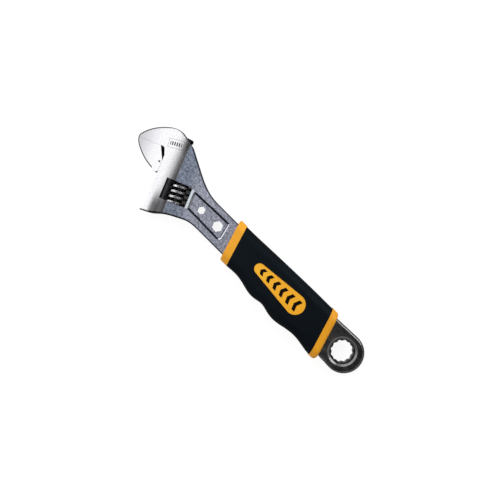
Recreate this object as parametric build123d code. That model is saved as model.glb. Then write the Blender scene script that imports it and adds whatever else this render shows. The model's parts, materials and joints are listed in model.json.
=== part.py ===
"""Adjustable wrench with a twelve-point ring end, two hex holes and a two-colour moulded grip.

Origin: centre of the ring hole on the forging's mid plane.
+X runs up the handle to the jaws, +Y is the side that the moving jaw is on, +Z is up when it lies flat.
Millimetres. The head's own axes are turned by HEAD_TILT: "out" runs to the jaw tips and "open" is the
way the moving jaw slides. The tool is symmetric about the mid plane except for its pin slot.
"""
from build123d import *
from math import cos, pi, radians, tan
import os

# ---- Head frame ------------------------------------------------------------------------------
HEAD_TILT = 22.5
HEAD_X, HEAD_Y = 179.8, 4.3

# ---- Forging thickness (half values) ---------------------------------------------------------
WEB_HALF = 5.75
HOUSING_HALF = 7.5
HOUSING_ROLL = (3.8, 15.5)
JAW_TIP_HALF = 5.0
TANG_HALF = 4.5
POCKET_DEPTH = 2.1
POCKET_TAPER = 38
EDGE_ROUND = 1.4

# ---- Handle and ring end ---------------------------------------------------------------------
NECK_HALF_WIDTH = 12.9
NECK_START = 118.5
TANG_END = 126.0
RING_HALF_WIDTH = 16.3
RING_CENTRE_X = -1.8
RING_ROUND = 2.5
TANG_WIDE_END = (24.0, 15.3)
TANG_NARROW_START = 34.0
RING_ACROSS_FLATS = 16.0
RING_RECESS_RADII = (10.3, 11.9)
RING_RECESS_DEPTH = 0.9
LARGE_HEX_ACROSS_FLATS = 8.0
LARGE_HEX_X = 138.6
SMALL_HEX_ACROSS_FLATS = 6.0
SMALL_HEX_X = 156.5

# ---- Jaws and slide, in head axes ------------------------------------------------------------
SEAT = 19.3
SEAT_GAP = 0.15
FIXED_FACE = -29.9
JAW_GAP = 0.12
JAW_TIP = 44.1
THROAT_FACE = 23.0
THROAT_CORNER = (21.2, -28.6)
THROAT_END = -23.8
JAW_WEB_INNER = ((26.0, -28.5), (24.0, -11.5))

# ---- Worm drive, in head axes ----------------------------------------------------------------
WINDOW_HALF_OUT = 10.7
WINDOW_HALF_OPEN = 8.5
ROD_AXIS = 8.4
ROD_RADIUS = 5.5
ROD_BACK, ROD_FRONT = -43.1, 9.4
ROD_END_ROUND = 1.2
RACK_TURNS_BACK, RACK_TURNS_FRONT = 9, 2
RUNNING_GAP = 0.05
KEY_HALF = 3.0
KEY_GAP = 0.1
KEY_BACK, KEY_FRONT = -23.4, -11.5
WORM_AXIS = -2.0
WORM_RADIUS = 7.8
WORM_CORE_RADIUS = 4.65
WORM_LENGTH = 16.6
PITCH = 4.35
THREAD_TURNS = 6
THREAD_CREST = 1.9
THREAD_BASE = 3.0
FLANK_GAP = 0.2
PIN_RADIUS = 2.5
PIN_HEAD_RADIUS = 3.0
PIN_BACK, PIN_SHOULDER, PIN_END = -15.0, 9.8, 17.2
PIN_FIT = 0.02
SPRING_COIL_RADIUS = 3.05
SPRING_WIRE_RADIUS = 0.33
SPRING_TURNS = 4.5
SPRING_POCKET_RADIUS = 3.6
SPRING_POCKET_DEPTH = 5.0

# ---- Grip ------------------------------------------------------------------------------------
COLLAR_TILT = 17.0
LOWER_COLLAR = (16.6, 23.3)
UPPER_COLLAR = (116.8, 123.9)
GRIP_HALF = 10.0
GRIP_CORNER = 8.2
FLAT_TRIM = 0.04
SLEEVE_WALL = 2.4
LOWER_COLLAR_SIDES = (18.8, 20.7)
UPPER_COLLAR_SIDES = (16.8, 16.9)
LOWER_COLLAR_ROUND = 2.6
UPPER_COLLAR_ROUND = 1.2
BADGE_ENDS = ((52.8, 8.2), (91.6, 4.35))
BADGE_THICKNESS = 1.2
BADGE_SUNK = 0.3
BADGE_GAP = 0.1

# Grip width along the handle: distance from the ring hole, then the plain side and the finger side.
GRIP_STATIONS = (
    (2.0, 18.3, 20.0),
    (12.0, 18.3, 20.4),
    (21.0, 18.3, 20.1),
    (36.3, 18.3, 18.2),
    (55.3, 18.1, 21.0),
    (71.1, 17.7, 18.6),
    (81.5, 17.4, 19.9),
    (94.0, 17.0, 17.5),
    (104.0, 16.6, 16.4),
    (120.0, 16.2, 16.3),
    (136.0, 16.2, 16.3),
)

HEAD = Plane(origin=(HEAD_X, HEAD_Y, 0), x_dir=(cos(radians(HEAD_TILT)), cos(radians(90 - HEAD_TILT)), 0))
BEYOND = 120.0


def from_head(out, opening):
    """The point that lies this far out and this far in the opening direction, in the row's axes."""
    return HEAD.from_local_coords((out, opening, 0))


def across_slide(profile, start, end):
    """A face drawn in (out, up), made solid from start to end in the opening direction."""
    plane = Plane(origin=(0, start, 0), x_dir=(1, 0, 0), z_dir=(0, -1, 0))
    return extrude(plane * profile, amount=start - end)


def along_slide(radius, out, start, end):
    """A round bar or drill along the opening direction, in head axes."""
    return Pos(out, (start + end) / 2, 0) * Rot(X=-90) * Cylinder(radius, end - start)


def slab(outline, half):
    """An outline made solid, this much above and below the mid plane."""
    return Pos(0, 0, -half) * extrude(outline, amount=2 * half)


def is_rim(edge, is_chosen):
    """True for an edge that isn't upright and whose middle, in head axes, is chosen."""
    middle = HEAD.to_local_coords(edge.center())
    return abs(edge.tangent_at(0.5).Z) < 0.7 and is_chosen(middle.X, middle.Y)


def round_rims(solid, is_chosen):
    """Rounds the top and bottom edges of a solid's upright faces, where is_chosen(out, opening)."""
    walls = [face for face in solid.faces() if abs(face.normal_at().Z) < 0.02]
    rims = ShapeList(edge for wall in walls for edge in wall.edges() if is_rim(edge, is_chosen))
    return fillet(rims, EDGE_ROUND)


# ---- Forged body -----------------------------------------------------------------------------
def head_outline():
    """Neck, flare, fixed jaw, seat and lower edge, seen from above."""
    back_corner = from_head(1.2, -37.9)
    jaw_root = from_head(9.2, -43.7)
    jaw_nose = from_head(43.5, -32.7)
    face_tip = from_head(JAW_TIP, FIXED_FACE)
    throat_face = from_head(THROAT_FACE, FIXED_FACE)
    throat_corner = from_head(*THROAT_CORNER)
    throat_middle = from_head(21.9, FIXED_FACE + 0.35)
    throat_end = from_head(SEAT, THROAT_END)
    seat_end = from_head(SEAT, 19.5)
    spur = from_head(21.7, 22.8)
    lean = NECK_HALF_WIDTH * tan(radians(COLLAR_TILT))
    neck_low = (NECK_START + lean, -NECK_HALF_WIDTH)
    neck_high = (NECK_START - lean, NECK_HALF_WIDTH)
    edges = [
        Line(neck_low, (150, -NECK_HALF_WIDTH)),
        Spline((150, -NECK_HALF_WIDTH), (170.6, -17.5), (183.3, -23.9), tangents=[(1, 0), (2, -1)]),
        Line((183.3, -23.9), back_corner),
        Line(back_corner, jaw_root),
        Spline(jaw_root, from_head(17.1, -46.4), from_head(29.2, -43.7), from_head(38.9, -37.7), jaw_nose),
        ThreePointArc(jaw_nose, from_head(44.1, -31.3), face_tip),
        Line(face_tip, throat_face),
        ThreePointArc(throat_face, throat_middle, throat_corner),
        Line(throat_corner, throat_end),
        Line(throat_end, seat_end),
        Line(seat_end, spur),
        Spline(spur, (183.3, 29.5), (177, 24.2), (164.3, 16.8), (148, NECK_HALF_WIDTH),
               tangents=[(-2, -1), (-1, 0)]),
        Line((148, NECK_HALF_WIDTH), neck_high),
        Line(neck_high, neck_low),
    ]
    return make_face(edges)


def thickness_profile():
    """Section of the head in (out, up): flat web, rounded rise to the housing, jaws thinning outward."""
    roll_start, roll_end = HOUSING_ROLL
    rise = HOUSING_HALF - WEB_HALF
    run = roll_end - roll_start
    radius = (run**2 + rise**2) / (2 * rise)
    middle = (roll_end - run / 2, HOUSING_HALF - radius + (radius**2 - run**2 / 4) ** 0.5)
    upper = [
        Line((-BEYOND, 0), (-BEYOND, WEB_HALF)),
        Line((-BEYOND, WEB_HALF), (roll_start, WEB_HALF)),
        ThreePointArc((roll_start, WEB_HALF), middle, (roll_end, HOUSING_HALF)),
        Line((roll_end, HOUSING_HALF), (SEAT, HOUSING_HALF)),
        Line((SEAT, HOUSING_HALF), (JAW_TIP + 1, JAW_TIP_HALF)),
        Line((JAW_TIP + 1, JAW_TIP_HALF), (JAW_TIP + 1, 0)),
        Line((JAW_TIP + 1, 0), (-BEYOND, 0)),
    ]
    half = make_face(upper)
    return half + mirror(half, about=Plane.XZ)


def neck_pocket():
    """One tapered pocket in the neck's upper face, slanted at the handle end like the collars."""
    ridge = WINDOW_HALF_OUT + 2.0
    corners = [
        (132.6, -8.3),
        (150.0, -7.9),
        from_head(-ridge, -7.0),
        from_head(-ridge, 8.2),
        (153.5, 7.2),
        (128.6, 7.8),
    ]
    outline = make_face(FilletPolyline(*corners, radius=[3.2, 20, 1.4, 1.4, 20, 3.2], close=True))
    return extrude(Pos(0, 0, WEB_HALF) * outline, amount=-POCKET_DEPTH, taper=POCKET_TAPER)


def hex_hole(x, across_flats):
    hexagon = RegularPolygon(across_flats / 2, 6, major_radius=False, rotation=HEAD_TILT + 30)
    return Pos(x, 0, 0) * extrude(hexagon, amount=BEYOND, both=True)


def ring_hole():
    """Twelve-point hole with a sloping round recess in each face."""
    hexagon = RegularPolygon(RING_ACROSS_FLATS / 2, 6, major_radius=False)
    hole = extrude(hexagon + Rot(Z=30) * hexagon, amount=BEYOND, both=True)
    floor_radius, rim_radius = RING_RECESS_RADII
    recess = Pos(0, 0, TANG_HALF - RING_RECESS_DEPTH / 2) * Cone(floor_radius, rim_radius, RING_RECESS_DEPTH)
    return hole + recess + mirror(recess, about=Plane.XY)


def tang():
    """Flat bar under the grip, widening to the ring end."""
    wide_x, wide_y = TANG_WIDE_END
    upper_side = [(wide_x, wide_y), (TANG_NARROW_START, NECK_HALF_WIDTH), (TANG_END, NECK_HALF_WIDTH)]
    lower_side = [(x, -y) for x, y in reversed(upper_side)]
    ring_top = (RING_CENTRE_X, RING_HALF_WIDTH)
    ring_bottom = (RING_CENTRE_X, -RING_HALF_WIDTH)
    outline = make_face([
        Polyline(ring_top, *upper_side, *lower_side, ring_bottom),
        ThreePointArc(ring_top, (RING_CENTRE_X - RING_HALF_WIDTH, 0), ring_bottom),
    ])
    bar = slab(outline, TANG_HALF)
    rims = bar.faces().filter_by(Axis.Z).edges().filter_by(lambda edge: edge.center().X < TANG_END - 1)
    return fillet(rims, RING_ROUND)


def slide_cuts():
    """Worm window, rod bore, key slot and pin hole, in head axes."""
    window = Box(2 * WINDOW_HALF_OUT, 2 * WINDOW_HALF_OPEN, BEYOND)
    bore = along_slide(ROD_RADIUS + RUNNING_GAP, ROD_AXIS, -BEYOND, BEYOND)
    slot_back = KEY_BACK - 0.3
    slot_middle = ((ROD_AXIS + SEAT) / 2, (slot_back + BEYOND) / 2, 0)
    slot = Pos(slot_middle) * Box(SEAT - ROD_AXIS + 0.2, BEYOND - slot_back, 2 * (KEY_HALF + KEY_GAP))
    pin_bore = along_slide(PIN_RADIUS + PIN_FIT, WORM_AXIS, PIN_BACK, PIN_SHOULDER + 1)
    pin_mouth = along_slide(PIN_HEAD_RADIUS + PIN_FIT, WORM_AXIS, PIN_SHOULDER, BEYOND)
    return window + bore + slot + pin_bore + pin_mouth


def is_outside_rim(out, opening):
    """The head's rims apart from those of the jaw face, the seat and its spur, which stay sharp."""
    is_spur = out > SEAT - 1 and opening > 18
    is_mouth = out > SEAT - 0.5 and opening > FIXED_FACE - 0.7
    return not (is_spur or is_mouth)


def wrench_body():
    head = slab(head_outline(), HOUSING_HALF + 1)
    head = head & (HEAD * across_slide(thickness_profile(), -BEYOND, BEYOND))
    body = round_rims(head, is_outside_rim) + tang()
    pocket = neck_pocket()
    body -= pocket
    body -= mirror(pocket, about=Plane.XY)
    body -= hex_hole(LARGE_HEX_X, LARGE_HEX_ACROSS_FLATS)
    body -= hex_hole(SMALL_HEX_X, SMALL_HEX_ACROSS_FLATS)
    body -= ring_hole()
    body -= HEAD * slide_cuts()
    return body


# ---- Moving jaw ------------------------------------------------------------------------------
def jaw_outline():
    """The moving jaw seen from above, closed, in head axes."""
    base = SEAT + SEAT_GAP
    face = FIXED_FACE + JAW_GAP
    edges = [
        Line((24.9, face), (JAW_TIP, face)),
        Spline((JAW_TIP, face), (43.6, -27.6), (39.3, -21.3), (32.4, -15.1), (24.3, -10.4)),
        ThreePointArc((24.3, -10.4), (21.0, -9.4), (base, -10.5)),
        Line((base, -10.5), (base, -19.4)),
        Line((base, -19.4), (24.9, face)),
    ]
    return make_face(edges)


def jaw_web():
    """Thin web that fills the jaw's cut-back corner and runs down to the rod."""
    base = SEAT + SEAT_GAP
    corner_out, corner_open = THROAT_CORNER
    corners = [
        (ROD_AXIS, KEY_FRONT),
        (ROD_AXIS, KEY_BACK),
        (base, KEY_BACK),
        (corner_out + 2 * SEAT_GAP, corner_open + SEAT_GAP),
        (THROAT_FACE + SEAT_GAP, FIXED_FACE + 2 * SEAT_GAP),
        *JAW_WEB_INNER,
    ]
    return slab(make_face(Polyline(*corners, close=True)), KEY_HALF)


def rack_groove():
    """Space for one turn of thread, leaning by the worm's lead angle and open towards the worm."""
    slope = (THREAD_BASE - THREAD_CREST) / (WORM_RADIUS - WORM_CORE_RADIUS)
    root = WORM_AXIS + WORM_RADIUS + 0.15
    mouth = ROD_AXIS - ROD_RADIUS - 1
    root_half = THREAD_CREST / 2 + FLANK_GAP
    mouth_half = root_half + (root - mouth) * slope / 2
    outline = make_face(Polyline((root, -root_half), (root, root_half), (mouth, mouth_half),
                                 (mouth, -mouth_half), close=True))
    mean_radius = (WORM_RADIUS + WORM_CORE_RADIUS) / 2 + 0.6
    lean = PITCH / (2 * pi * mean_radius)
    return extrude(outline, amount=10, dir=(0, -lean, 1), both=True)


def moving_jaw():
    jaw = slab(jaw_outline(), HOUSING_HALF + 1)
    jaw = jaw & across_slide(thickness_profile(), -BEYOND, BEYOND)
    outer = jaw.edges().filter_by(GeomType.BSPLINE)
    jaw = fillet(outer, EDGE_ROUND)
    rod = along_slide(ROD_RADIUS, ROD_AXIS, ROD_BACK, ROD_FRONT)
    rod = fillet(rod.edges().filter_by(GeomType.CIRCLE), ROD_END_ROUND)
    for turn in range(-RACK_TURNS_BACK, RACK_TURNS_FRONT + 1):
        rod -= Pos(0, turn * PITCH, 0) * rack_groove()
    return HEAD * (jaw + jaw_web() + rod)


# ---- Worm, pin and spring --------------------------------------------------------------------
def thread_ridge(length, root_radius):
    """Helical ridge about +Z, from ruled faces between helices at its root and crest corners."""
    slope = (THREAD_BASE - THREAD_CREST) / (WORM_RADIUS - WORM_CORE_RADIUS)
    base_half = THREAD_CREST / 2 + (WORM_RADIUS - root_radius) * slope / 2
    crest_half = THREAD_CREST / 2
    corners = ((root_radius, -base_half), (root_radius, base_half),
               (WORM_RADIUS, crest_half), (WORM_RADIUS, -crest_half))
    helices = [Pos(0, 0, lift) * Edge.make_helix(PITCH, length, radius) for radius, lift in corners]
    faces = [Face.make_surface_from_curves(helices[i], helices[(i + 1) % 4]) for i in range(4)]
    for end in (0, 1):
        points = [helix @ end for helix in helices]
        faces.append(Face(Wire.make_polygon(points, close=True)))
    return Solid(Shell(faces))


def worm():
    ridge_length = THREAD_TURNS * PITCH
    ridge = Pos(0, 0, -ridge_length / 2) * thread_ridge(ridge_length, WORM_CORE_RADIUS - 0.15)
    threads = Part() + ridge & Cylinder(WORM_RADIUS + 1, WORM_LENGTH)
    body = Cylinder(WORM_CORE_RADIUS, WORM_LENGTH) + threads
    body -= Cylinder(PIN_RADIUS + RUNNING_GAP, 2 * WORM_LENGTH)
    body -= Pos(0, 0, WORM_LENGTH / 2) * Cylinder(SPRING_POCKET_RADIUS, 2 * SPRING_POCKET_DEPTH)
    return HEAD * Pos(WORM_AXIS, 0, 0) * Rot(X=-90) * body


def worm_pin():
    """Shouldered screw, slotted at the end that shows in the head's lower edge."""
    pin = along_slide(PIN_RADIUS, WORM_AXIS, PIN_BACK + 0.2, PIN_SHOULDER + 0.2)
    pin += along_slide(PIN_HEAD_RADIUS, WORM_AXIS, PIN_SHOULDER + 0.2, PIN_END)
    pin -= Pos(WORM_AXIS, PIN_END, 0) * Box(1.0, 2.4, 3 * PIN_HEAD_RADIUS)
    return HEAD * pin


def worm_spring():
    """Round-wire compression spring in the worm's pocket."""
    start = WORM_LENGTH / 2 - SPRING_POCKET_DEPTH + SPRING_WIRE_RADIUS + 0.05
    end = WINDOW_HALF_OPEN - SPRING_WIRE_RADIUS - 0.05
    path = Edge.make_helix((end - start) / SPRING_TURNS, end - start, SPRING_COIL_RADIUS)
    wire = Plane(origin=path @ 0, z_dir=path % 0) * Circle(SPRING_WIRE_RADIUS)
    coil = sweep(wire, path=path, is_frenet=True)
    return HEAD * Pos(WORM_AXIS, start, 0) * Rot(X=-90) * coil


# ---- Grip ------------------------------------------------------------------------------------
def grip_solid(inset, half):
    """Lofted grip shape, this much narrower than the sleeve on each side, with two truly flat faces."""
    corner = GRIP_CORNER - (GRIP_HALF - half)
    height = 2 * (half + FLAT_TRIM)
    sections = []
    for x, plain, fingers in GRIP_STATIONS:
        width = plain + fingers - 2 * inset
        plane = Plane(origin=(x, (fingers - plain) / 2, 0), x_dir=(0, 1, 0), z_dir=(1, 0, 0))
        sections.append(plane * RectangleRounded(width, height, corner))
    return loft(sections) & Pos(HEAD_X / 2, 0, 0) * Box(2 * HEAD_X, BEYOND, 2 * half)


def slanted_slab(start, end):
    """Everything between two planes that cross the handle at the collars' slant."""
    scale = cos(radians(COLLAR_TILT))
    middle = (start + end) / 2 * scale
    return Rot(Z=COLLAR_TILT) * Pos(middle, 0, 0) * Box((end - start) * scale, BEYOND, BEYOND)


def badge_outline(growth):
    circles = [Pos(x, 0, 0) * Circle(radius + growth) for x, radius in BADGE_ENDS]
    return make_hull([circle.edge() for circle in circles])


def badge():
    lift = GRIP_HALF - BADGE_SUNK - BADGE_THICKNESS
    return Pos(0, 0, lift) * extrude(badge_outline(0), amount=BADGE_THICKNESS)


def badge_recess():
    depth = BADGE_SUNK + BADGE_THICKNESS
    return Pos(0, 0, GRIP_HALF - depth) * extrude(badge_outline(BADGE_GAP), amount=2 * depth)


def collar(span, sides, rounding, is_lower):
    """A slice of rounded bar between two slanted planes, with its outer end rounded over."""
    plain, fingers = sides
    plane = Plane(origin=(0, (fingers - plain) / 2, 0), x_dir=(0, 1, 0), z_dir=(1, 0, 0))
    section = plane * RectangleRounded(plain + fingers, 2 * GRIP_HALF, GRIP_CORNER)
    piece = extrude(section, amount=HEAD_X) & slanted_slab(*span)
    along = Axis((0, 0, 0), (cos(radians(COLLAR_TILT)), cos(radians(90 - COLLAR_TILT)), 0))
    ends = piece.faces().sort_by(along)
    return fillet((ends[0] if is_lower else ends[-1]).edges(), rounding)


def grip_core(body):
    core = grip_solid(SLEEVE_WALL, GRIP_HALF - SLEEVE_WALL) & slanted_slab(LOWER_COLLAR[0], UPPER_COLLAR[1])
    core += collar(LOWER_COLLAR, LOWER_COLLAR_SIDES, LOWER_COLLAR_ROUND, is_lower=True)
    core += collar(UPPER_COLLAR, UPPER_COLLAR_SIDES, UPPER_COLLAR_ROUND, is_lower=False)
    return core - body


def grip_sleeve():
    sleeve = grip_solid(0, GRIP_HALF) - grip_solid(SLEEVE_WALL, GRIP_HALF - SLEEVE_WALL)
    sleeve = sleeve & slanted_slab(LOWER_COLLAR[1], UPPER_COLLAR[0])
    sleeve -= badge_recess()
    return sleeve - mirror(badge_recess(), about=Plane.XY)


def main():
    os.makedirs("parts", exist_ok=True)
    body = wrench_body()
    front = badge()
    nodes = {
        "wrench_body": body,
        "moving_jaw": moving_jaw(),
        "worm": worm(),
        "worm_pin": worm_pin(),
        "worm_spring": worm_spring(),
        "grip_core": grip_core(body),
        "grip_sleeve": grip_sleeve(),
        "front_badge": front,
        "back_badge": mirror(front, about=Plane.XY),
    }
    for name, shape in nodes.items():
        export_step(shape, f"parts/{name}.step")


main()
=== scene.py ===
import json
import math

import bmesh
import bpy
from mathutils import Matrix, Vector


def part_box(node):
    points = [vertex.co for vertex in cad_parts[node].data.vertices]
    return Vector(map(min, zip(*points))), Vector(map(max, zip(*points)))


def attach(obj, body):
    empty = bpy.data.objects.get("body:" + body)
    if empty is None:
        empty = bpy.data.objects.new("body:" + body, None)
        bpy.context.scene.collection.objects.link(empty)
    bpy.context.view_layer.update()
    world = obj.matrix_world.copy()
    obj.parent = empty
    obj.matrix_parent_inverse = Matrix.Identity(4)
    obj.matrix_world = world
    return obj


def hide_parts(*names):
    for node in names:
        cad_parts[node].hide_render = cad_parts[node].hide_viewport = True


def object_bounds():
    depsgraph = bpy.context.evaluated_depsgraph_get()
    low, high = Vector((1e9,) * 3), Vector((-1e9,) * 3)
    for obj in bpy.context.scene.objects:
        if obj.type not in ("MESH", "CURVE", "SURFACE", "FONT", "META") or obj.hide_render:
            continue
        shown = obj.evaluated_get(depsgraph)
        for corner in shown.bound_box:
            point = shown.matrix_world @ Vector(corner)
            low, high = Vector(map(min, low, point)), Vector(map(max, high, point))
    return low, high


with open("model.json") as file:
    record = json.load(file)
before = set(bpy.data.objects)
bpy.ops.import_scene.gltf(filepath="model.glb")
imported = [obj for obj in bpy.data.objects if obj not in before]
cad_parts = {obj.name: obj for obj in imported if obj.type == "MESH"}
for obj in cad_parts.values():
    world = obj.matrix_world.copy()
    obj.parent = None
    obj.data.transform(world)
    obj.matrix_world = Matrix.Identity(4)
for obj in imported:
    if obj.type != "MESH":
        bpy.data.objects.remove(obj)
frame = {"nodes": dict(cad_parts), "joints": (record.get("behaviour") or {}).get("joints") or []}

# Looks of the adjustable wrench: procedural materials on the CAD parts, a knurled worm,
# printed marks on the badges, a pale floor, studio light and the camera. Lengths in metres.

MM = 0.001
CAD_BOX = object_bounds()

# ---- Places that come from the frame -----------------------------------------------------------
# Head axes have their origin near the worm: x out to the jaw tips, y the way the jaw opens, z up.
JOINTS = {joint["name"]: joint for joint in frame["joints"]}
OPENING = Vector(JOINTS["jaw_slide"]["axis"])
OUT = Vector((OPENING.y, -OPENING.x, 0))
HEAD_TILT = math.atan2(OUT.y, OUT.x)
WORM_CENTRE = Vector(JOINTS["worm_spin"]["pos_m"])
WORM_SETBACK = 2.0 * MM
HEAD_ORIGIN = WORM_CENTRE + WORM_SETBACK * OUT
BADGE_LOW, BADGE_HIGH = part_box("front_badge")


# ---- Node graphs ---------------------------------------------------------------------------------
# Socket numbers of the mix node for each kind of value: its two inputs and its output.
MIX_SOCKETS = {"FLOAT": (2, 3, 0), "RGBA": (6, 7, 2)}
# Noise stays between these values nearly everywhere.
NOISE_RANGE = (0.3, 0.7)


class Graph:
    """One material's node tree, with short calls for the nodes used here."""

    def __init__(self, name):
        self.material = bpy.data.materials.new(name)
        self.material.use_nodes = True
        self.tree = self.material.node_tree
        self.shader = self.tree.nodes["Principled BSDF"]
        self.point = self.node("ShaderNodeTexCoord").outputs["Object"]

    def node(self, kind, inputs=None, **settings):
        made = self.tree.nodes.new(kind)
        for name, value in settings.items():
            setattr(made, name, value)
        for name, value in (inputs or {}).items():
            self.feed(made.inputs[name], value)
        return made

    def feed(self, socket, value):
        if isinstance(value, bpy.types.NodeSocket):
            self.tree.links.new(value, socket)
        else:
            socket.default_value = value

    def surface(self, **inputs):
        """Sets or links the shader's sockets, named with underscores for spaces."""
        for name, value in inputs.items():
            self.feed(self.shader.inputs[name.replace("_", " ")], value)

    def math(self, operation, first, second=0.0, third=0.0):
        made = self.node("ShaderNodeMath", operation=operation)
        for socket, value in zip(made.inputs, (first, second, third)):
            self.feed(socket, value)
        return made.outputs[0]

    def times(self, first, *others):
        """Product of numbers."""
        for other in others:
            first = self.math("MULTIPLY", first, other)
        return first

    def size(self, value):
        """A number without its sign."""
        return self.math("ABSOLUTE", value)

    def combine(self, kind, amount, first, second, blend_type="MIX"):
        first_socket, second_socket, output = MIX_SOCKETS[kind]
        made = self.node("ShaderNodeMix", data_type=kind, blend_type=blend_type)
        self.feed(made.inputs[0], amount)
        self.feed(made.inputs[first_socket], first)
        self.feed(made.inputs[second_socket], second)
        return made.outputs[output]

    def mix(self, amount, first, second):
        """Blend of two colours."""
        return self.combine("RGBA", amount, first, second)

    def multiply(self, first, second):
        """Product of two colours."""
        return self.combine("RGBA", 1.0, first, second, "MULTIPLY")

    def blend(self, amount, first, second):
        """Blend of two numbers."""
        return self.combine("FLOAT", amount, first, second)

    def step(self, value, start, end, low=0.0, high=1.0):
        """Smooth change from low to high as value goes from start to end."""
        made = self.node("ShaderNodeMapRange", interpolation_type="SMOOTHSTEP")
        for socket, number in zip(made.inputs, (value, start, end, low, high)):
            self.feed(socket, number)
        return made.outputs[0]

    def inside(self, value, low, high, soft):
        """1 between low and high, falling to 0 over soft on either side of each."""
        rise = self.step(value, low - soft, low + soft)
        fall = self.step(value, high - soft, high + soft, 1.0, 0.0)
        return self.times(rise, fall)

    def patch(self, plane, box, soft):
        """1 inside a rectangle of a plane's two coordinates. The box is the range of each."""
        return self.times(self.inside(plane[0], *box[0], soft), self.inside(plane[1], *box[1], soft))

    def split(self, vector):
        return self.node("ShaderNodeSeparateXYZ", {0: vector}).outputs

    def join(self, x, y, z):
        return self.node("ShaderNodeCombineXYZ", {0: x, 1: y, 2: z}).outputs[0]

    def head_axes(self):
        """The point in head axes."""
        place = self.node("ShaderNodeMapping", {"Vector": self.point}, vector_type="TEXTURE")
        place.inputs["Location"].default_value = HEAD_ORIGIN
        place.inputs["Rotation"].default_value = (0, 0, HEAD_TILT)
        return self.split(place.outputs[0])

    def normal(self):
        """The surface's own normal, split in three. The last number is 1 on level faces, 0 on walls."""
        return self.split(self.node("ShaderNodeNewGeometry").outputs["Normal"])

    def noise(self, scale, detail=2.0, roughness=0.5, vector=None, stretch=None):
        """Noise value about 0.5. Scale is in features per metre."""
        vector = self.point if vector is None else vector
        if stretch:
            vector = self.node("ShaderNodeMapping", {"Vector": vector, "Scale": stretch}).outputs[0]
        settings = {"Vector": vector, "Scale": scale, "Detail": detail, "Roughness": roughness}
        return self.node("ShaderNodeTexNoise", settings).outputs[0]

    def varied(self, noise, low, high):
        """A number that follows noise from low to high."""
        return self.step(noise, *NOISE_RANGE, low, high)

    def bump(self, height, distance, strength, under=None):
        made = self.node("ShaderNodeBump", {"Height": height, "Distance": distance, "Strength": strength})
        if under is not None:
            self.feed(made.inputs["Normal"], under)
        return made.outputs[0]


def dress(node, material):
    """Gives a CAD node one of the materials made here."""
    slots = frame["nodes"][node].data.materials
    slots.clear()
    slots.append(material)


# ---- Colours ---------------------------------------------------------------------------------
WHITE = (1, 1, 1, 1)
CHROME_DARK = (0.47, 0.465, 0.485, 1)
CHROME_LIGHT = (0.57, 0.565, 0.58, 1)
# Painted shade that the jaws take on toward their tips.
TIP_SHADE = (0.62, 0.62, 0.63, 1)
# Painted shade on the rounded rims.
RIM = (0.12, 0.12, 0.13, 1)
SATIN = (0.115, 0.12, 0.148, 1)
SATIN_LIGHT = (0.37, 0.38, 0.46, 1)
# Painted highlight on the ridge behind the worm's window.
RIDGE_HIGHLIGHT = (0.50, 0.54, 0.58, 1)
# Painted highlight on the top of the pocket's collar-end wall.
BROW_HIGHLIGHT = (0.97, 0.97, 1.0, 1)
# Darker tone of the web near the housing, and painted light on the pocket's head-end wall.
WEB_TONE = (0.56, 0.62, 0.66, 1)
# Painted shade in the pocket's walls.
CREVICE_SHADE = (0.030, 0.034, 0.050, 1)
# Painted reflection of dark surroundings on the ring end, with drawn streaks.
RING_SHADE = (0.15, 0.15, 0.155, 1)
RING_SHADE_LIGHT = (0.21, 0.205, 0.20, 1)
STAMP_DARK = (0.03, 0.03, 0.035, 1)
# Black for the worm's oxide and the jaw's mark, and painted shade inside the worm's window and on the jaw's
# cut-back web.
BLACKENED_AND_SHADE = (0.006, 0.006, 0.007, 1)
BLACKENED_LIGHT = (0.02, 0.02, 0.023, 1)
CREST_DULL = (0.10, 0.10, 0.11, 1)
# Painted highlight on the worm's worn crests.
CREST_GLINT = (0.95, 0.95, 0.97, 1)
# Painted shade for the rack rod, nearly black with turning marks.
ROD_SHADE_DARK = (0.014, 0.014, 0.018, 1)
ROD_SHADE_LIGHT = (0.04, 0.04, 0.045, 1)
PIN_DARK = (0.10, 0.10, 0.11, 1)
PIN_LIGHT = (0.22, 0.22, 0.23, 1)
SPRING_DARK = (0.14, 0.14, 0.15, 1)
SPRING_LIGHT = (0.30, 0.30, 0.31, 1)
YELLOW = (0.88, 0.385, 0.012, 1)
YELLOW_SHADE = (0.84, 0.345, 0.010, 1)
BADGE_YELLOW = (0.97, 0.49, 0.016, 1)
BADGE_SHADE = (0.96, 0.43, 0.014, 1)
BLACK = (0.0020, 0.0028, 0.0042, 1)
BLACK_SHADE = (0.0032, 0.0042, 0.0062, 1)
RUBBER_SHEEN = (0.55, 0.80, 1.0, 1)
INK = (0.0030, 0.0018, 0.0016, 1)
INK_SHADE = (0.0060, 0.0040, 0.0034, 1)
FLOOR_DARK = (0.20, 0.20, 0.20, 1)
FLOOR_LIGHT = (0.21, 0.21, 0.21, 1)


# ---- Polished and plated steel -----------------------------------------------------------------
# Features per metre of the slow clouds and of the marks on the walls.
CLOUDS = 90.0
WALL_MARKS = 420.0
# Where the grinding lines would meet, how fast they change by angle and by length, and their scale.
FAN_CENTRE = (62.0 * MM, -31.0 * MM)
FAN_ACROSS = 3.2
FAN_ALONG = 25.0
FAN_SCALE = 26.0
LINE_DEPTH = 0.01 * MM
LINE_STRENGTH = 0.5
# Painted shade: the jaws darken to their tips over this length.
TIP_FADE = (24.0 * MM, 45.0 * MM)
# Upright share of the normal on the rims, which are darkened with painted shade, and where the fan lines give
# way to plain marks.
RIM_TILT = (0.30, 0.90)
RIM_SOFT = 0.05
FAN_ENDS = (0.6, 0.3)
# The range of the marks that goes from the dark to the light tone, and the roughness over marks and clouds.
LINE_CONTRAST = (0.35, 0.65)
LINE_ROUGH = (0.13, 0.20)
CLOUD_ROUGH = (0.0, 0.05)


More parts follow.
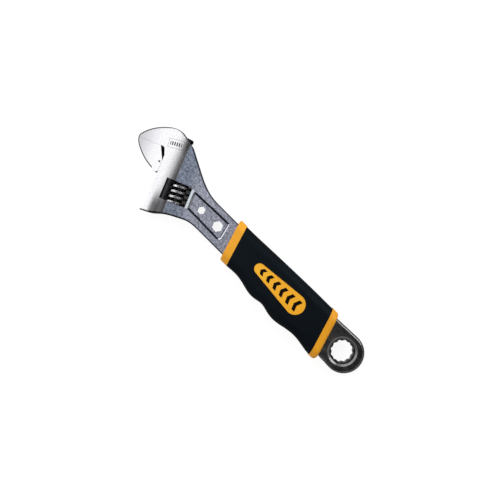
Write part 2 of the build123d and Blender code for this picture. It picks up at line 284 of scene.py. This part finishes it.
def steepness(graph, flat, steep):
    """0 where the normal is upright by more than flat, 1 where it is by less than steep."""
    return graph.step(graph.size(graph.normal()[2]), flat, steep)


def fan_lines(graph, head):
    """Faint grinding lines that spread back from beyond the jaw tips."""
    away = graph.math("SUBTRACT", FAN_CENTRE[0], head[0])
    side = graph.math("SUBTRACT", head[1], FAN_CENTRE[1])
    angle = graph.math("ARCTAN2", side, away)
    place = graph.join(graph.times(angle, FAN_ACROSS), graph.times(away, FAN_ALONG), 0.0)
    return graph.noise(FAN_SCALE, 3.0, 0.6, place)


def polished(graph, head):
    """Colour, roughness and bump height of the bright ground and plated surfaces, with painted shade on the
    rims and toward the jaw tips.
    """
    cloud = graph.noise(CLOUDS)
    lines = graph.blend(steepness(graph, *FAN_ENDS), fan_lines(graph, head), graph.noise(WALL_MARKS))
    colour = graph.mix(graph.step(lines, *LINE_CONTRAST), CHROME_DARK, CHROME_LIGHT)
    # Painted shade: the jaws darken toward their tips.
    colour = graph.multiply(colour, graph.mix(graph.step(head[0], *TIP_FADE), WHITE, TIP_SHADE))
    # Painted shade: the rims, where the surface turns from top to side, are painted dark.
    is_shaded_rim = graph.inside(graph.size(graph.normal()[2]), *RIM_TILT, RIM_SOFT)
    colour = graph.mix(is_shaded_rim, colour, RIM)
    rough = graph.math("ADD", graph.varied(lines, *LINE_ROUGH), graph.varied(cloud, *CLOUD_ROUGH))
    return colour, rough, lines


# Painted shade in the crease between housing and web, and the share of the plating's tone that is left at its
# bottom.
CREASE = (5.0 * MM, 9.5 * MM)
CREASE_SHADE = 0.62
# Painted shade on the back corner of the housing, outward and along, and the share of the tone that it loses.
CORNER_OUT = (5.0 * MM, 10.0 * MM)
CORNER_ALONG = (-37.0 * MM, -28.0 * MM)
CORNER_LOSS = 0.55
# A band of painted shade low on the rounded side, which darkens along the housing.
BAND_OUT = (7.5 * MM, 15.2 * MM)
BAND_SOFT = 2.2 * MM
BAND_ALONG = (-2.0 * MM, 15.0 * MM)
BAND_LOSS = 0.78


def roll_shade(graph, head):
    """Painted shade on the plating low on the housing's rounded side: in the crease, the back corner and a
    band.
    """
    crease = graph.step(head[0], *CREASE, CREASE_SHADE, 1.0)
    in_corner = graph.step(head[0], *CORNER_OUT, 1.0, 0.0)
    corner = graph.times(in_corner, graph.step(head[1], *CORNER_ALONG, CORNER_LOSS, 0.0))
    band = graph.inside(head[0], *BAND_OUT, BAND_SOFT)
    low = graph.times(band, graph.step(head[1], *BAND_ALONG, 0.0, BAND_LOSS))
    shade = graph.times(crease, graph.math("SUBTRACT", 1.0, corner), graph.math("SUBTRACT", 1.0, low))
    return graph.join(shade, shade, shade)


# The stamped frame: centre, turn, half its sides, line width, and the height above which it shows.
STAMP_CENTRE = (14.1 * MM, -35.0 * MM)
STAMP_TURN = math.radians(7)
STAMP_HALF = (6.1 * MM, 3.5 * MM)
STAMP_LINE = 0.26 * MM
STAMP_SOFT = 0.05 * MM
STAMP_BORDER = 0.75
SHOWS_ABOVE = (4.0 * MM, 5.0 * MM)
# Its bars: half their spacing, the place of the outer ones, where a bar's side fades, half their box.
BAR_HALF_SPACING = 0.9 * MM
BAR_OUTER = 4.5 * MM
BAR_SIDE = (0.42 * MM, 0.54 * MM)
BAR_HALF = (4.6 * MM, 1.5 * MM)


def around_zero(half):
    """The box that reaches as far on both sides of zero."""
    return tuple((-reach, reach) for reach in half)


def stamp(graph, head):
    """Marked frame beside the jaw root, holding plain bars instead of letters."""
    sine, cosine = math.sin(STAMP_TURN), math.cos(STAMP_TURN)
    east = graph.math("SUBTRACT", head[0], STAMP_CENTRE[0])
    north = graph.math("SUBTRACT", head[1], STAMP_CENTRE[1])
    across = graph.math("ADD", graph.times(east, cosine), graph.times(north, sine))
    along = graph.math("SUBTRACT", graph.times(north, cosine), graph.times(east, sine))
    plane = (across, along)
    hollow = tuple(half - STAMP_LINE for half in STAMP_HALF)
    border = graph.math("SUBTRACT", graph.patch(plane, around_zero(STAMP_HALF), STAMP_SOFT),
                        graph.patch(plane, around_zero(hollow), STAMP_SOFT))
    beat = graph.math("PINGPONG", graph.math("ADD", across, BAR_OUTER), BAR_HALF_SPACING)
    bars = graph.times(graph.step(beat, *BAR_SIDE, 1.0, 0.0),
                       graph.patch(plane, around_zero(BAR_HALF), STAMP_SOFT))
    marks = graph.math("MAXIMUM", graph.times(border, STAMP_BORDER), bars)
    return graph.times(marks, graph.step(head[2], *SHOWS_ABOVE))


# The triangle on the jaw: its point, its length, and how fast it widens.
ARROW_POINT = (22.5 * MM, -17.7 * MM)
ARROW_END = (1.9 * MM, 2.0 * MM)
ARROW_SLOPE = 0.55
ARROW_SOFT = (-0.03 * MM, 0.05 * MM)


def arrow_mark(graph, head):
    """Small dark triangle on the moving jaw, with its point to the jaw tips."""
    side = graph.math("SUBTRACT", head[1], ARROW_POINT[1])
    reach = graph.math("SUBTRACT", ARROW_POINT[0], head[0])
    narrow = graph.math("SUBTRACT", graph.times(reach, ARROW_SLOPE), graph.size(side))
    return graph.times(graph.step(narrow, *ARROW_SOFT), graph.step(reach, *ARROW_END, 1.0, 0.0),
                       graph.step(graph.size(head[2]), *SHOWS_ABOVE))


# ---- Forged body -------------------------------------------------------------------------------
# Features per metre of the blasted grain, its coarser part, the wobble of the polish's edge, the drawn ring.
GRAIN = 1500.0
COARSE_GRAIN = 500.0
COARSE_SHARE = 0.3
EDGE_NOISE = 500.0
EDGE_WOBBLE = 0.6 * MM
DRAWN = 120.0
GRAIN_DEPTH = 0.10 * MM
GRAIN_STRENGTH = 0.8
SATIN_CONTRAST = (0.36, 0.64)
SATIN_ROUGH = (0.52, 0.36)
DRAWN_CONTRAST = (0.35, 0.7)
DRAWN_ROUGH = (0.16, 0.26)
# Outward places where the polish starts and where the web takes its darker tone.
POLISH_STARTS = (3.9 * MM, 4.5 * MM)
WEB_FADE = (-18.0 * MM, -4.0 * MM)
# The row's x where the ring end stops. Its chrome is painted dark, a painted reflection of dark surroundings.
RING_STOPS = (28.0 * MM, 34.0 * MM)
# Upright share of the normal where the satin finish turns into wall, which is darkened with painted shade.
WALL_TILT = (0.985, 0.88)
# The pocket's end walls face along the row by this much of their normal and lie behind the worm's window. The
# one at the head end is painted lighter as painted light.
END_FACING = (0.35, 0.55)
END_WALLS = (-11.5 * MM, -11.3 * MM)
# The row's x that tells the end wall by the collar from the other, and the height where its top carries a
# painted highlight.
COLLAR_END = (140.0 * MM, 142.0 * MM)
BROW_ABOVE = (4.3 * MM, 4.5 * MM)
# The painted highlight on the ridge behind the worm's window: its range and softness outward and along.
RIDGE_OUT = (-12.55 * MM, -10.5 * MM, 0.15 * MM)
RIDGE_ALONG = (-7.2 * MM, 8.3 * MM, 0.3 * MM)
# Painted shade inside the worm's window and the rod's bore: its box, and the height that it stays under.
WINDOW = ((-10.9 * MM, 14.2 * MM), (-8.7 * MM, 18.0 * MM))
WINDOW_SOFT = 0.1 * MM
WINDOW_BELOW = (5.55 * MM, 5.70 * MM)


def satin_finish(graph, head, row):
    """Colour, roughness and grain of the blasted web and neck, with painted shade on the pocket's walls and
    painted light on its head-end wall, the top of its collar-end wall and the ridge.
    """
    grain = graph.noise(GRAIN, 3.0, 0.65)
    mottled = graph.blend(COARSE_SHARE, grain, graph.noise(COARSE_GRAIN))
    colour = graph.mix(graph.step(mottled, *SATIN_CONTRAST), SATIN, SATIN_LIGHT)
    colour = graph.multiply(colour, graph.mix(graph.step(head[0], *WEB_FADE), WHITE, WEB_TONE))

    facing = graph.step(graph.size(graph.normal()[0]), *END_FACING)
    is_end_wall = graph.times(facing, graph.step(head[0], *END_WALLS, 1.0, 0.0))
    at_collar = graph.times(is_end_wall, graph.step(row[0], *COLLAR_END, 1.0, 0.0))
    brow_highlight = graph.times(at_collar, graph.step(graph.size(head[2]), *BROW_ABOVE))
    is_ridge = graph.times(graph.inside(head[0], *RIDGE_OUT), graph.inside(head[1], *RIDGE_ALONG))
    # Painted shade darkens the pocket's walls; the end wall at the head end is painted lighter as painted
    # light, and the one by the collar is painted dark.
    walls = graph.mix(is_end_wall, CREVICE_SHADE, WEB_TONE)
    walls = graph.mix(at_collar, walls, CREVICE_SHADE)
    # Painted highlight along the top of the collar-end wall, which is otherwise in painted shade.
    walls = graph.mix(brow_highlight, walls, BROW_HIGHLIGHT)
    colour = graph.mix(steepness(graph, *WALL_TILT), colour, walls)
    # Painted highlight on the ridge behind the worm's window.
    colour = graph.mix(is_ridge, colour, RIDGE_HIGHLIGHT)
    rough = graph.blend(brow_highlight, graph.varied(mottled, *SATIN_ROUGH), 1.0)
    return colour, rough, grain


def body_material():
    """Forged body: polished head, blasted web and neck, with painted shade and highlights, and a ring end
    painted dark as a painted reflection of dark surroundings.
    """
    graph = Graph("forged_chrome_look")
    head = graph.head_axes()
    row = graph.split(graph.point)
    colour, rough, lines = polished(graph, head)
    satin, satin_rough, grain = satin_finish(graph, head, row)
    edge_noise = graph.times(graph.noise(EDGE_NOISE), EDGE_WOBBLE)
    is_polished = graph.step(graph.math("ADD", head[0], edge_noise), *POLISH_STARTS)
    # The polished plating carries the painted shade of roll_shade.
    base = graph.mix(is_polished, satin, graph.multiply(colour, roll_shade(graph, head)))

    # Painted shade: the inside of the worm's window and of the rod's bore is painted black.
    depth = graph.step(graph.size(head[2]), *WINDOW_BELOW, 1.0, 0.0)
    base = graph.mix(graph.times(depth, graph.patch(head, WINDOW, WINDOW_SOFT)), base, BLACKENED_AND_SHADE)

    # Painted reflection: the ring end's chrome is painted dark, with drawn streaks.
    is_ring = graph.step(row[0], *RING_STOPS, 1.0, 0.0)
    drawn = graph.noise(DRAWN, stretch=(1.0, 3.0, 1.0))
    shaded_ring = graph.mix(graph.step(drawn, *DRAWN_CONTRAST), RING_SHADE, RING_SHADE_LIGHT)
    base = graph.mix(is_ring, base, shaded_ring)
    base = graph.mix(stamp(graph, head), base, STAMP_DARK)
    roughness = graph.blend(is_polished, satin_rough, rough)
    roughness = graph.blend(is_ring, roughness, graph.varied(drawn, *DRAWN_ROUGH))

    grain_height = graph.times(graph.math("SUBTRACT", 1.0, is_polished), grain)
    normal = graph.bump(grain_height, GRAIN_DEPTH, GRAIN_STRENGTH)
    normal = graph.bump(graph.times(lines, is_polished), LINE_DEPTH, LINE_STRENGTH, normal)
    graph.surface(Base_Color=base, Metallic=1.0, Roughness=roughness, Normal=normal)
    return graph.material


# ---- Jaw, worm, pin and spring -----------------------------------------------------------------
# The line behind which the jaw is cut back to a thin web, as a slope and an offset, and its soft edge.
CUT_BACK = (-0.525, 9.265 * MM)
CUT_SOFT = (0.06 * MM, 0.12 * MM)
# The height that the thin web stays under. The web is painted black as painted shade.
CUT_HALF_THICKNESS = (3.02 * MM, 3.12 * MM)
# The jaw's rack rod lies further back than this. The rod is painted nearly black as painted shade.
ROD_STOPS = (18.6 * MM, 19.2 * MM)
# Features per metre of the turning marks on the rod, the wear and the oxide.
TURNING = 1500.0
WEAR = 900.0
OXIDE = 1200.0
STEEL_MARKS = 1800.0
# Roughness over each finish.
ROD_ROUGH = (0.25, 0.4)
CUT_ROUGH = 0.6
OXIDE_ROUGH = (0.22, 0.34)
STEEL_ROUGH = (0.28, 0.42)
# Depth and strength of the bumps in the oxide and on turned steel.
OXIDE_BUMP = (0.03 * MM, 0.6)
STEEL_BUMP = (0.02 * MM, 0.5)
# Radius where the worm's oxide is worn through, how much that wanders, and where the crests carry a painted
# highlight.
WORN_RADIUS = (7.75 * MM, 8.02 * MM)
WEAR_WANDER = 0.5 * MM
GLINT_SIDE = (-7.0 * MM, 3.0 * MM)


def jaw_material():
    """Moving jaw: bright jaw, cut-back web painted black as shade, rack rod painted nearly black as shade,
    with turning marks.
    """
    graph = Graph("jaw_chrome_look")
    head = graph.head_axes()
    colour, rough, lines = polished(graph, head)
    cut_back = graph.math("MULTIPLY_ADD", head[1], *CUT_BACK)
    behind_cut = graph.step(graph.math("SUBTRACT", head[0], cut_back), *CUT_SOFT, 1.0, 0.0)
    in_web = graph.times(graph.step(graph.size(head[2]), *CUT_HALF_THICKNESS, 1.0, 0.0), behind_cut)
    on_rod = graph.step(head[0], *ROD_STOPS, 1.0, 0.0)
    turned = graph.noise(TURNING, stretch=(0.3, 2.0, 0.3))
    base = graph.mix(arrow_mark(graph, head), colour, BLACKENED_AND_SHADE)
    # Painted shade: the rack rod is painted nearly black, with faint turning marks.
    base = graph.mix(on_rod, base, graph.mix(graph.varied(turned, 0.0, 1.0), ROD_SHADE_DARK, ROD_SHADE_LIGHT))
    # Painted shade: the recessed web in the throat is painted black.
    base = graph.mix(in_web, base, BLACKENED_AND_SHADE)
    roughness = graph.blend(on_rod, rough, graph.varied(turned, *ROD_ROUGH))
    roughness = graph.blend(in_web, roughness, CUT_ROUGH)
    graph.surface(Base_Color=base, Metallic=1.0, Roughness=roughness)
    graph.surface(Normal=graph.bump(lines, LINE_DEPTH, LINE_STRENGTH))
    return graph.material


def worm_material():
    """Black oxide, worn to steel along the crests, with a painted highlight on the crests on the side of the
    jaw tips.
    """
    graph = Graph("worm_black_look")
    head = graph.head_axes()
    from_axis = graph.math("ADD", head[0], WORM_SETBACK)
    squares = graph.math("ADD", graph.times(from_axis, from_axis), graph.times(head[2], head[2]))
    radius = graph.math("SQRT", squares)
    wear = graph.math("ADD", radius, graph.times(graph.noise(WEAR, 3.0), WEAR_WANDER))
    worn = graph.step(wear, *WORN_RADIUS)
    oxide = graph.noise(OXIDE, 3.0)
    black = graph.mix(graph.varied(oxide, 0.0, 1.0), BLACKENED_AND_SHADE, BLACKENED_LIGHT)
    # Painted highlight and shade: the worn crests are painted bright on the side of the jaw tips and dull on
    # the other.
    crest = graph.mix(graph.step(head[0], *GLINT_SIDE), CREST_DULL, CREST_GLINT)
    graph.surface(Base_Color=graph.mix(worn, black, crest), Metallic=1.0)
    graph.surface(Roughness=graph.varied(oxide, *OXIDE_ROUGH), Normal=graph.bump(oxide, *OXIDE_BUMP))
    return graph.material


def turned_material(name, dark, light):
    """Plain turned or drawn steel."""
    graph = Graph(name)
    marks = graph.noise(STEEL_MARKS, 3.0, 0.6)
    graph.surface(Base_Color=graph.mix(graph.varied(marks, 0.0, 1.0), dark, light), Metallic=1.0)
    graph.surface(Roughness=graph.varied(marks, *STEEL_ROUGH), Normal=graph.bump(marks, *STEEL_BUMP))
    return graph.material


# ---- Plastics --------------------------------------------------------------------------------
# Features per metre of the slow change of colour, and how the pits differ from the grain.
DRIFT = 45.0
PIT_SCALE = 0.6
PIT_SHARE = 0.5
# How far the roughness goes below and above its middle.
SMOOTHER = 0.05
ROUGHER = 0.07
MOULD_BUMP = 0.6


def moulded_material(name, main, shade, roughness, scale, depth, specular, sheen=WHITE):
    """Moulded plastic or rubber with a fine spark-eroded texture, of the given scale and depth."""
    graph = Graph(name)
    drift = graph.varied(graph.noise(DRIFT), 0.0, 1.0)
    grain = graph.noise(scale, 3.0, 0.55)
    cells = {"Vector": graph.point, "Scale": scale * PIT_SCALE}
    pits = graph.node("ShaderNodeTexVoronoi", cells).outputs[0]
    height = graph.math("ADD", grain, graph.times(pits, PIT_SHARE))
    graph.surface(Base_Color=graph.mix(drift, main, shade), Specular_Tint=sheen)
    graph.surface(Roughness=graph.varied(grain, roughness - SMOOTHER, roughness + ROUGHER))
    graph.surface(Normal=graph.bump(height, depth, MOULD_BUMP), Specular_IOR_Level=specular)
    return graph.material


# ---- Meshes --------------------------------------------------------------------------------------
def add_piece(name, mesh, material):
    """Turns a mesh into an object of the scene, with one material."""
    data = bpy.data.meshes.new(name)
    mesh.to_mesh(data)
    mesh.free()
    data.materials.append(material)
    piece = bpy.data.objects.new(name, data)
    bpy.context.scene.collection.objects.link(piece)
    return piece


# ---- Worm --------------------------------------------------------------------------------------
WORM_RADIUS = 7.8 * MM
CORE_RADIUS = 4.65 * MM
PITCH = 4.35 * MM
WORM_HALF = 8.3 * MM
BORE_RADIUS = 2.56 * MM
POCKET_RADIUS = 3.6 * MM
POCKET_DEPTH = 5.0 * MM
KNURLS = 40
STEPS_PER_KNURL = 6
KNURL_DEPTH = 0.28 * MM
# Turns of thread made before the ends are cut off, and corners in a plain circle.
TURNS_MADE = 6
CIRCLE_CORNERS = 64
# Points this close are merged, this close to the cut lie on it, and this close to an end belong to it.
MERGE_WITHIN = 0.001 * MM
CUT_WITHIN = 0.0001 * MM
END_WITHIN = 0.01 * MM
SHARP_OVER = math.radians(28)
# Half a thread's section: distance from its middle, radius, and how much of the knurl cuts it.
THREAD = ((0.0, WORM_RADIUS, 1.0), (0.78 * MM, WORM_RADIUS, 1.0), (0.92 * MM, WORM_RADIUS - 0.12 * MM, 0.9),
          (0.99 * MM, WORM_RADIUS - 0.32 * MM, 0.5), (1.42 * MM, CORE_RADIUS + 0.14 * MM, 0.0),
          (1.62 * MM, CORE_RADIUS, 0.0), (PITCH / 2, CORE_RADIUS, 0.0))


def thread_section():
    """One pitch of the thread's section, from mid gap to mid gap."""
    left = [(-offset, radius, cut) for offset, radius, cut in reversed(THREAD)]
    return left + list(THREAD[1:])


def helical_skin(mesh):
    """The threaded surface, a sheet that is longer than the worm at both ends."""
    section = thread_section()
    steps = KNURLS * STEPS_PER_KNURL
    rows = []
    for step in range(TURNS_MADE * steps + 1):
        turn = step / steps - TURNS_MADE / 2
        angle = 2 * math.pi * turn
        notch = 0.5 - 0.5 * math.cos(2 * math.pi * step / STEPS_PER_KNURL)
        row = []
        for offset, radius, cut in section:
            reach = radius - KNURL_DEPTH * cut * notch
            place = (reach * math.cos(angle), turn * PITCH + offset, -reach * math.sin(angle))
            row.append(mesh.verts.new(place))
        rows.append(row)
    for low, high in zip(rows, rows[1:]):
        for number in range(len(section) - 1):
            mesh.faces.new((low[number], low[number + 1], high[number + 1], high[number]))


def ring(mesh, radius, height):
    """Vertices of a circle about the worm's axis."""
    angles = [2 * math.pi * k / CIRCLE_CORNERS for k in range(CIRCLE_CORNERS)]
    return [mesh.verts.new((radius * math.cos(a), height, -radius * math.sin(a))) for a in angles]


def rim(mesh, height):
    """Vertices of the threaded sheet's open edge at one end."""
    edges = [edge for edge in mesh.edges if len(edge.link_faces) == 1]
    return {vert for edge in edges for vert in edge.verts if abs(vert.co.y - height) < END_WITHIN}


def bearing(vert):
    """Angle of a vertex about the worm's axis."""
    return math.atan2(-vert.co.z, vert.co.x)


def stitch(mesh, first, second):
    """Joins two loops about the axis with triangles, in step by angle so that none crosses the hole."""
    loops = [sorted(loop, key=bearing) for loop in (first, second)]
    at = [0, 0]

    def ahead(side):
        lap, place = divmod(at[side] + 1, len(loops[side]))
        return bearing(loops[side][place]) + 2 * math.pi * lap

    while at[0] < len(loops[0]) or at[1] < len(loops[1]):
        if at[0] == len(loops[0]):
            side = 1
        elif at[1] == len(loops[1]):
            side = 0
        else:
            side = 0 if ahead(0) <= ahead(1) else 1
        here = [loops[k][at[k] % len(loops[k])] for k in (0, 1)]
        at[side] += 1
        mesh.faces.new((here[0], here[1], loops[side][at[side] % len(loops[side])]))


def worm_mesh():
    """Knurled worm, bored for its pin and pocketed for its spring, about the +Y axis."""
    mesh = bmesh.new()
    helical_skin(mesh)
    bmesh.ops.remove_doubles(mesh, verts=mesh.verts, dist=MERGE_WITHIN)
    for side in (1, -1):
        everything = mesh.verts[:] + mesh.edges[:] + mesh.faces[:]
        bmesh.ops.bisect_plane(mesh, geom=everything, dist=CUT_WITHIN, plane_co=(0, side * WORM_HALF, 0),
                               plane_no=(0, side, 0), clear_outer=True)
    top, bottom = rim(mesh, WORM_HALF), rim(mesh, -WORM_HALF)
    mouth = ring(mesh, POCKET_RADIUS, WORM_HALF)
    floor = ring(mesh, POCKET_RADIUS, WORM_HALF - POCKET_DEPTH)
    bore_top = ring(mesh, BORE_RADIUS, WORM_HALF - POCKET_DEPTH)
    bore_end = ring(mesh, BORE_RADIUS, -WORM_HALF)
    loops = (top, mouth, floor, bore_top, bore_end, bottom)
    for first, second in zip(loops, loops[1:]):
        stitch(mesh, first, second)
    bmesh.ops.recalc_face_normals(mesh, faces=mesh.faces)
    return mesh


def make_worm():
    worm = add_piece("worm_knurled", worm_mesh(), worm_material())
    worm.data.transform(Matrix.Translation(WORM_CENTRE) @ Matrix.Rotation(HEAD_TILT, 4, "Z"))
    worm.data.shade_smooth()
    worm.data.set_sharp_from_angle(angle=SHARP_OVER)
    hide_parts("worm")
    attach(worm, "worm")


# ---- Badge marks -------------------------------------------------------------------------------
MARKS = 6
MARK_THICKNESS = 0.06 * MM
# Radii of the badge's small and large ends.
BADGE_SMALL = 4.35 * MM
BADGE_LARGE = 8.2 * MM
# From the badge's two ends to the first and the last mark.
FIRST_INSET = 6.2 * MM
LAST_INSET = 8.6 * MM
# A mark's half width as a share of the badge's, its stroke, its point, and how far back it starts.
MARK_SHARE = 0.58
STROKE = 3.1 * MM
POINT = 1.9 * MM
MARK_START = 1.6 * MM


def badge_half_width(x):
    """Half width of the teardrop badge at a place along the handle."""
    start = BADGE_LOW.x + BADGE_LARGE
    end = BADGE_HIGH.x - BADGE_SMALL
    share = min(max((x - start) / (end - start), 0.0), 1.0)
    return BADGE_LARGE + (BADGE_SMALL - BADGE_LARGE) * share


def chevron(x, half):
    """Outline of one arrow-shaped bar, pointing to the head."""
    return [(x, -half), (x + STROKE, -half), (x + STROKE + POINT, 0), (x + STROKE, half), (x, half),
            (x + POINT, 0)]


def make_marks(name, side, material):
    """Plain chevrons printed along a badge, growing with its width. side is 1 on top and -1 below."""
    first, last = BADGE_LOW.x + FIRST_INSET, BADGE_HIGH.x - LAST_INSET
    mesh = bmesh.new()
    for number in range(MARKS):
        x = first + (last - first) * number / (MARKS - 1)
        outline = chevron(x - MARK_START, MARK_SHARE * badge_half_width(x))
        face = mesh.faces.new([mesh.verts.new((px, py, side * BADGE_HIGH.z)) for px, py in outline])
        raised = bmesh.ops.extrude_face_region(mesh, geom=[face])["geom"]
        corners = [item for item in raised if isinstance(item, bmesh.types.BMVert)]
        bmesh.ops.translate(mesh, vec=(0, 0, side * MARK_THICKNESS), verts=corners)
    bmesh.ops.recalc_face_normals(mesh, faces=mesh.faces)
    marks = add_piece(name, mesh, material)
    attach(marks, "handle")


# ---- Stage -------------------------------------------------------------------------------------
FLOOR_SIZE = 12.0
FLOOR_MIDDLE = 0.1
FLOOR_GAP = 0.1 * MM
FLOOR_CLOUDS = 60.0
FLOOR_GLOW = 0.89
FLOOR_ROUGH = 0.7
# Painted shadow: the floor glows less under the worm's window.
SHADOW_PATCH = ((-11.5 * MM, 12.5 * MM), (-9.0 * MM, 9.5 * MM))
SHADOW_SOFT = 1.0 * MM
SHADOW_GLOW = 0.03
BACKDROP_RADIUS = 5.5
# Place and size of the softbox, and its strength in the middle of its bright end.
SOFTBOX_PLACE = (0.30, 0, 0.60)
SOFTBOX_SIZE = 1.6
SOFTBOX_POWER = 1.9
# It brightens along the row as the product of two ramps, and dims to its sides and beyond the head.
RAMP = (-0.10, 0.30)
RAMP_STARTS = (0.06, 0.5)
SIDE_FADE = (0.30, 0.70, 1.0, 0.3)
FAR_FADE = (0.55, 0.95, 1.0, 0.4)
# Name, place, target, two sides and watts of each small light.
LIGHTS = (("ring_strip", (-0.16, -0.55, 0.40), (0, 0, 0), (0.30, 0.30), 1.1),
          ("top_strip", (0.50, -0.50, 0.26), (0.05, 0, 0), (0.4, 0.25), 1.4))
# The world's strength goes from the low to the high value over these heights of the view's direction.
WORLD_CLIMB = {"From Min": 0.05, "From Max": 0.45, "To Min": 0.25, "To Max": 0.60}
CAMERA_PLACE = Vector((107.3, -5.0, 548.0)) * MM
CAMERA_LENS = 50.0
CAMERA_SENSOR = 36.0
CAMERA_NEAREST = 0.01


def stage_object(name, mesh, material, hidden_from):
    """Adds a piece of the studio, unseen by some kinds of ray."""
    piece = add_piece(name, mesh, material)
    for ray in hidden_from:
        setattr(piece, "visible_" + ray, False)


def square(side, place, turn=Matrix()):
    mesh = bmesh.new()
    corners = ((-1, -1), (1, -1), (1, 1), (-1, 1))
    matrix = Matrix.Translation(place) @ turn
    mesh.faces.new([mesh.verts.new(matrix @ Vector((x * side / 2, y * side / 2, 0))) for x, y in corners])
    return mesh


def make_floor():
    """Pale floor just under the tool, not seen in reflections, with a painted shadow under the worm's window.
    """
    graph = Graph("pale_floor")
    graph.surface(Base_Color=graph.mix(graph.noise(FLOOR_CLOUDS), FLOOR_DARK, FLOOR_LIGHT))
    # Painted shadow under the worm's window.
    glow = graph.blend(graph.patch(graph.head_axes(), SHADOW_PATCH, SHADOW_SOFT), FLOOR_GLOW, SHADOW_GLOW)
    graph.surface(Roughness=FLOOR_ROUGH, Specular_IOR_Level=0.0)
    graph.surface(Emission_Color=WHITE, Emission_Strength=glow)
    place = (FLOOR_MIDDLE, 0, CAD_BOX[0].z - FLOOR_GAP)
    stage_object("floor", square(FLOOR_SIZE, place), graph.material, ("glossy",))


def emission(name, strength_from=None):
    """White glow. strength_from makes the strength from the graph, where it varies."""
    graph = Graph(name)
    graph.tree.nodes.remove(graph.shader)
    strength = strength_from(graph) if strength_from else 1.0
    glow = graph.node("ShaderNodeEmission", {"Strength": strength})
    graph.tree.links.new(glow.outputs[0], graph.tree.nodes["Material Output"].inputs["Surface"])
    return graph.material


def make_backdrop():
    """White surround that only the camera sees."""
    mesh = bmesh.new()
    bmesh.ops.create_icosphere(mesh, subdivisions=3, radius=BACKDROP_RADIUS)
    hidden = ("diffuse", "glossy", "transmission", "volume_scatter", "shadow")
    stage_object("backdrop", mesh, emission("backdrop_white"), hidden)


def softbox_strength(graph):
    """Bright over the head, fading to dark over the ring end."""
    row = graph.split(graph.point)
    ramps = [graph.step(row[0], *RAMP, start, 1.0) for start in RAMP_STARTS]
    side = graph.step(graph.size(row[1]), *SIDE_FADE)
    far = graph.step(row[0], *FAR_FADE)
    return graph.times(*ramps, side, far, SOFTBOX_POWER)


def area_light(name, place, target, sides, power):
    data = bpy.data.lights.new(name, "AREA")
    data.shape = "RECTANGLE"
    data.size, data.size_y = sides
    data.energy = power
    light = bpy.data.objects.new(name, data)
    light.location = place
    light.rotation_euler = (Vector(target) - Vector(place)).to_track_quat("-Z", "Y").to_euler()
    light.visible_camera = False
    bpy.context.scene.collection.objects.link(light)


def make_lights():
    softbox = square(SOFTBOX_SIZE, SOFTBOX_PLACE, Matrix.Rotation(math.pi, 4, "X"))
    stage_object("softbox", softbox, emission("softbox_glow", softbox_strength), ("camera",))
    for light in LIGHTS:
        area_light(*light)


def make_world():
    """Grey room, lighter above the horizon."""
    world = bpy.data.worlds.new("studio")
    world.use_nodes = True
    bpy.context.scene.world = world
    nodes, links = world.node_tree.nodes, world.node_tree.links
    parts = nodes.new("ShaderNodeSeparateXYZ")
    climb = nodes.new("ShaderNodeMapRange")
    links.new(nodes.new("ShaderNodeTexCoord").outputs["Generated"], parts.inputs[0])
    links.new(parts.outputs[2], climb.inputs["Value"])
    for name, number in WORLD_CLIMB.items():
        climb.inputs[name].default_value = number
    links.new(climb.outputs[0], nodes["Background"].inputs["Strength"])
    nodes["Background"].inputs["Color"].default_value = WHITE


def make_camera():
    """Straight above the tool, turned so that the jaws are at the upper left."""
    half = math.sqrt(0.5)
    right = Vector((-half, -half, 0))
    up = Vector((half, -half, 0))
    data = bpy.data.cameras.new("camera")
    data.lens = CAMERA_LENS
    data.sensor_width = CAMERA_SENSOR
    data.clip_start = CAMERA_NEAREST
    camera = bpy.data.objects.new("camera", data)
    turn = Matrix((right, up, right.cross(up))).transposed().to_4x4()
    camera.matrix_world = Matrix.Translation(CAMERA_PLACE) @ turn
    bpy.context.scene.collection.objects.link(camera)
    bpy.context.scene.camera = camera


# ---- Build -------------------------------------------------------------------------------------
dress("wrench_body", body_material())
dress("moving_jaw", jaw_material())
dress("worm_pin", turned_material("pin_steel_look", PIN_DARK, PIN_LIGHT))
dress("worm_spring", turned_material("spring_steel_look", SPRING_DARK, SPRING_LIGHT))
dress("grip_core", moulded_material("core_yellow_look", YELLOW, YELLOW_SHADE,
                                    roughness=0.42, scale=1400.0, depth=0.05 * MM, specular=0.35))
dress("grip_sleeve", moulded_material("sleeve_black_look", BLACK, BLACK_SHADE, roughness=0.50, scale=1700.0,
                                      depth=0.06 * MM, specular=0.12, sheen=RUBBER_SHEEN))
badge_look = moulded_material("badge_yellow_look", BADGE_YELLOW, BADGE_SHADE,
                              roughness=0.34, scale=2200.0, depth=0.02 * MM, specular=0.4)
for badge in ("front_badge", "back_badge"):
    dress(badge, badge_look)
ink_look = moulded_material("ink_look", INK, INK_SHADE,
                            roughness=0.50, scale=2600.0, depth=0.01 * MM, specular=0.05)
for name, side in (("front_marks", 1), ("back_marks", -1)):
    make_marks(name, side, ink_look)
make_worm()
make_floor()
make_backdrop()
make_world()
make_lights()
make_camera()
bpy.context.scene.view_settings.view_transform = "Standard"
